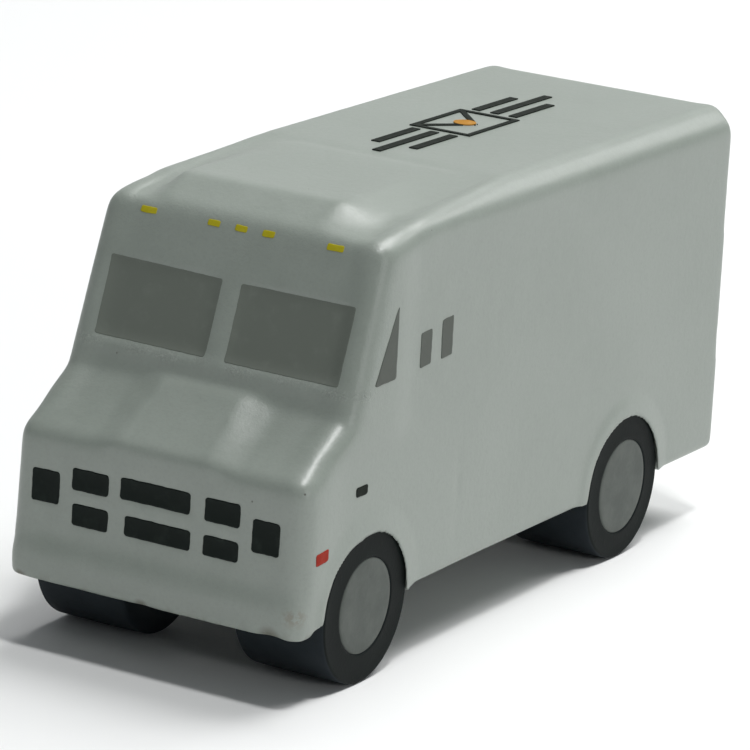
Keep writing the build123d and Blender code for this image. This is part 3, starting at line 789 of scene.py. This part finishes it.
def hub_finish():
    f = Finish("hub_face")
    cloud = f.clouds(3.4, 4.0, 0.62)
    fine = f.clouds(0.4, 3.0, shift=6.0)
    nick = f.specks(1.9, 0.16, 0.12, shift=4.0)
    stretch = f.node("ShaderNodeVectorMath", {"operation": "MULTIPLY"}, {0: f.place, 1: (1.0, 0.5, 1.6)})
    streak = f.node("ShaderNodeTexNoise", inputs={"Vector": stretch, "Scale": 1.3, "Detail": 5.0, "Roughness": 0.75})
    scratch = streak.rise(0.635, 0.70) * 0.35
    colour = f.blend(cloud.rise(0.3, 0.75), (0.088, 0.100, 0.090), (0.118, 0.130, 0.118))
    colour = f.blend(nick * 0.7, colour, (0.035, 0.038, 0.035))
    colour = f.blend(scratch, colour, (0.055, 0.060, 0.056))
    return f.shade(
        fine * 0.4 - nick * 0.8 - scratch * 0.5, 0.04, Base_Color=colour,
        Roughness=0.46 + 0.16 * fine, Specular_IOR_Level=0.2,
    )


tyre_vinyl, hub_face = vinyl_finish(), hub_finish()
print("made", tyre_vinyl.name, hub_face.name)


# %% Turn a profile round an axle
def turned(name, profile, centre, sign, turns=96, wobble=0.0, closed=True):
    """A ring turned round X. profile is (distance from the middle, radius) points, in mm."""
    mesh = bmesh.new()
    rings = []
    for k in range(turns):
        a = 2 * math.pi * k / turns
        ring = []
        for x, r in profile:
            shake = wobble * noise.noise(Vector((math.cos(a) * 1.3, math.sin(a) * 1.3, x * 0.25 + centre[1])))
            shake *= min(1.0, r / 3.0)
            at = (sign * x, centre[1] + (r + shake) * math.cos(a), centre[2] + (r + shake) * math.sin(a))
            ring.append(mesh.verts.new(Vector(at) * MM))
        rings.append(ring)
    count = len(profile)
    for k in range(turns):
        a, b = rings[k], rings[(k + 1) % turns]
        for i in range(count if closed else count - 1):
            j = (i + 1) % count
            mesh.faces.new((a[i], a[j], b[j], b[i]))
    if not closed:
        bmesh.ops.remove_doubles(mesh, verts=mesh.verts, dist=0.001 * MM)
    bmesh.ops.recalc_face_normals(mesh, faces=mesh.faces)
    data = bpy.data.meshes.new(name)
    mesh.to_mesh(data)
    mesh.free()
    data.polygons.foreach_set("use_smooth", [True] * len(data.polygons))
    piece = bpy.data.objects.new(name, data)
    bpy.context.scene.collection.objects.link(piece)
    return piece


def tyre_profile(inner, face, outer, bore):
    """From the inner edge over the tread to the face, and back through the bore."""
    crown, shoulder, rim = 0.05, 0.45, 0.32
    profile = [(inner + 0.15, bore), (inner, bore + 0.15), (inner, outer - crown - shoulder)]
    for k in range(1, 5):
        t = k / 5 * math.pi / 2
        profile.append((inner + shoulder * (1 - math.cos(t)), outer - crown - shoulder * (1 - math.sin(t))))
    first, last = inner + shoulder, face - rim
    for k in range(13):
        x = first + (last - first) * k / 12
        profile.append((x, outer - crown * ((2 * k / 12 - 1) ** 2)))
    for k in range(1, 4):
        t = k / 3 * math.pi / 2
        profile.append((face - rim * (1 - math.sin(t)), outer - crown - rim * (1 - math.cos(t))))
    profile += [(face, outer - crown - rim - 0.12), (face - 0.03, outer - 0.75), (face - 0.05, (outer + bore) / 2)]
    return profile + [(face - 0.04, bore + 0.4), (face - 0.02, bore + 0.15), (face - 0.10, bore + 0.02)]


def cap_profile(back, face, radius):
    """A shallow disc, closed at the middle: its back, its rim and its slightly domed face."""
    profile = [(back, 0.0), (back, radius - 0.05), (back + 0.1, radius)]
    profile += [(face - 0.16, radius), (face - 0.05, radius - 0.07), (face + 0.02, radius - 0.25)]
    profile += [(face + 0.03, radius * k / 8) for k in (7, 6, 5, 4, 3, 2, 1)]
    return profile + [(face + 0.02, 0.0)]


for end in ("front", "rear"):
    for side, sign in SIDES.items():
        wheel = f"{end}_{side}"
        low, high = box_mm(f"{wheel}_tyre")
        cap_low, cap_high = box_mm(f"{wheel}_hub_cap")
        centre = (low + high) / 2
        near_x, face_x = sorted((abs(low[0]), abs(high[0])))
        hub_r = (cap_high[2] - cap_low[2]) / 2 + (0.1 if end == "rear" else -0.2)
        cap_back = face_x - 1.5
        outer = (high[2] - low[2]) / 2
        tyre = turned(f"{wheel}_drum", tyre_profile(near_x, face_x - 0.1, outer, hub_r + 0.02), centre, sign, wobble=0.05)
        tyre.data.materials.append(tyre_vinyl)
        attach(tyre, f"{wheel}_wheel")
        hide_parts(f"{wheel}_tyre")
        disc = turned(f"{wheel}_disc", cap_profile(cap_back, face_x - 0.15, hub_r), centre, sign, 80, 0.04, closed=False)
        disc.data.materials.append(hub_face)
        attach(disc, f"{wheel}_wheel")
        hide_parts(f"{wheel}_hub_cap")
print("wheels turned, outer radius", round(outer, 2), "mm")

# %% [markdown]
# ## Chassis and running gear
# Under the foam is a small moulded chassis with steel axles and screws. The frame's pieces have the
# right shapes, so they stay. A narrow bevel breaks their edges, because no moulded or turned part has
# a perfectly sharp one, and each gets the finish of its stuff.

# %% Moulded plastic, nylon and zinc
def plastic_finish(name, dark, light, rough):
    f = Finish(name)
    flow = f.clouds(9.0, 3.0)
    grain = f.clouds(0.28, 2.0, 0.6, shift=12.0)
    rub = f.clouds(1.4, 4.0, 0.7, shift=20.0).rise(0.58, 0.74)
    colour = f.blend(flow.rise(0.3, 0.7), dark, light)
    colour = f.blend(rub * 0.35, colour, tuple(min(1.0, a * 2.4 + 0.01) for a in light))
    return f.shade(grain, 0.03, Base_Color=colour, Roughness=rough + 0.14 * grain, Specular_IOR_Level=0.45)


def zinc_finish():
    f = Finish("zinc_plate")
    cloud = f.clouds(2.0, 4.0, 0.6)
    stretch = f.node("ShaderNodeVectorMath", {"operation": "MULTIPLY"}, {0: f.place, 1: (0.12, 1.0, 1.0)})
    drawn = f.node("ShaderNodeTexNoise", inputs={"Vector": stretch, "Scale": 6.0, "Detail": 3.0, "Roughness": 0.6})
    dull = f.clouds(0.9, 4.0, 0.7, shift=15.0).rise(0.6, 0.75)
    colour = f.blend(cloud, (0.44, 0.45, 0.46), (0.60, 0.61, 0.60))
    colour = f.blend(dull * 0.5, colour, (0.25, 0.24, 0.22))
    return f.shade(
        drawn, 0.012, Base_Color=colour, Metallic=1 - 0.25 * dull, Roughness=0.24 + 0.2 * drawn + 0.15 * dull,
    )


chassis_black = plastic_finish("chassis_plastic", (0.014, 0.015, 0.016), (0.022, 0.023, 0.025), 0.38)
runner_black = plastic_finish("runner_plastic", (0.020, 0.020, 0.020), (0.032, 0.032, 0.032), 0.42)
nylon = plastic_finish("natural_nylon", (0.47, 0.46, 0.42), (0.56, 0.55, 0.50), 0.40)
zinc = zinc_finish()


def finish_of(node):
    if node == "chassis_plate" or node.endswith("_keeper"):
        return chassis_black
    if node.endswith(("_wheel_core", "_spacers")):
        return runner_black
    if node == "screw_anchors":
        return nylon
    return zinc


kept = [n for n, o in nodes.items() if not o.hide_render and not n.startswith("roof_badge")]
for node in kept:
    paint(node, finish_of(node))
    soften = nodes[node].modifiers.new("soften", "BEVEL")
    soften.width, soften.segments, soften.limit_method = 0.12 * MM, 2, "ANGLE"
    soften.angle_limit = math.radians(50)
    soften.harden_normals = True
print("kept from the frame:", len(kept), "pieces")

# %% [markdown]
# ## Studio
# A pale floor that curves away, a broad soft light above and behind, a small one overhead for the ridges'
# highlights, a low one behind to rake the roof's edge, another from the truck's left side, and a dim pale world. Broad
# lights keep the highlights of satin foam wide.

# %% Floor and lights
def sweep_floor():
    depth, rise, radius = 1.6, 0.9, 0.35
    profile = [(-2.2, 0.0), (depth - radius, 0.0)]
    for k in range(1, 13):
        a = math.pi / 2 * k / 12
        profile.append((depth - radius + radius * math.sin(a), radius - radius * math.cos(a)))
    profile.append((depth, rise + 1.2))
    mesh = bmesh.new()
    rows = [[mesh.verts.new((x, y, z)) for y, z in profile] for x in (-3.0, 3.0)]
    for i in range(len(profile) - 1):
        mesh.faces.new((rows[0][i], rows[1][i], rows[1][i + 1], rows[0][i + 1]))
    bmesh.ops.rotate(mesh, verts=mesh.verts, cent=(0, 0, 0), matrix=Matrix.Rotation(math.radians(29), 3, "Z"))
    data = bpy.data.meshes.new("floor")
    mesh.to_mesh(data)
    mesh.free()
    data.polygons.foreach_set("use_smooth", [True] * len(data.polygons))
    floor = bpy.data.objects.new("floor", data)
    bpy.context.scene.collection.objects.link(floor)
    f = Finish("floor_paper")
    data.materials.append(f.shade(Base_Color=(0.85, 0.855, 0.85), Roughness=0.8, Specular_IOR_Level=0.1))
    floor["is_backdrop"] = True


def soft_light(name, place, target, size, power, shape="RECTANGLE"):
    lamp = bpy.data.lights.new(name, "AREA")
    lamp.shape, lamp.size, lamp.size_y = shape, size[0], size[1]
    lamp.energy = power
    lamp.color = (1.0, 1.0, 1.0)
    holder = bpy.data.objects.new(name, lamp)
    bpy.context.scene.collection.objects.link(holder)
    holder.location = place
    holder.rotation_mode = "QUATERNION"
    holder.rotation_quaternion = (Vector(target) - Vector(place)).to_track_quat("-Z", "Y")


sweep_floor()
middle = (0.0, 0.0, 0.03)
soft_light("top_light", (0.18, 0.66, 1.34), middle, (0.95, 0.95), 17.8)
soft_light("ridge_light", (0.24, -0.12, 1.20), middle, (0.15, 0.15), 6.0)
soft_light("back_light", (0.29, 1.06, 0.62), middle, (0.20, 0.26), 1.0)
soft_light("side_light", (1.06, -0.38, 0.38), middle, (0.22, 0.22), 1.4)
world = bpy.data.worlds.new("studio")
world.use_nodes = True
world.node_tree.nodes["Background"].inputs["Color"].default_value = (0.88, 0.95, 1.0, 1.0)
world.node_tree.nodes["Background"].inputs["Strength"].default_value = 0.14
bpy.context.scene.world = world
bpy.context.scene.view_settings.view_transform = "Standard"
print("studio lit")

# %% [markdown]
# ## Camera
# A long lens from the front left corner of the view, a little above, keeps the truck's lines nearly
# parallel, and a slight roll tilts it the way a hand-held product shot does.

# %% Camera
YAW, PITCH, ROLL = math.radians(29.28), math.radians(-15.31), math.radians(3.94)
ahead = Vector((-math.sin(YAW) * math.cos(PITCH), math.cos(YAW) * math.cos(PITCH), math.sin(PITCH)))
level_right = Vector((math.cos(YAW), math.sin(YAW), 0))
level_up = level_right.cross(ahead)
right = level_right * math.cos(ROLL) + level_up * math.sin(ROLL)
up = level_up * math.cos(ROLL) - level_right * math.sin(ROLL)
lens = bpy.data.cameras.new("camera")
lens.sensor_width, lens.lens = 36.0, 234.5
lens.clip_start, lens.clip_end = 0.02, 20.0
camera = bpy.data.objects.new("camera", lens)
bpy.context.scene.collection.objects.link(camera)
turn = Matrix((right, up, -ahead)).transposed()
camera.matrix_world = Matrix.Translation((0.30267, -0.54319, 0.19768)) @ turn.to_4x4()
bpy.context.scene.camera = camera
print("camera", [round(c, 3) for c in camera.location])

# %% [markdown]
# ## Sizes and the end
# The visual model has to stay the size of the frame, so its size in millimetres is printed at the end.

# %% Write the sizes and finish
low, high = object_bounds()
print("visual size in mm:", [round((b - a) / MM, 2) for a, b in zip(low, high)])
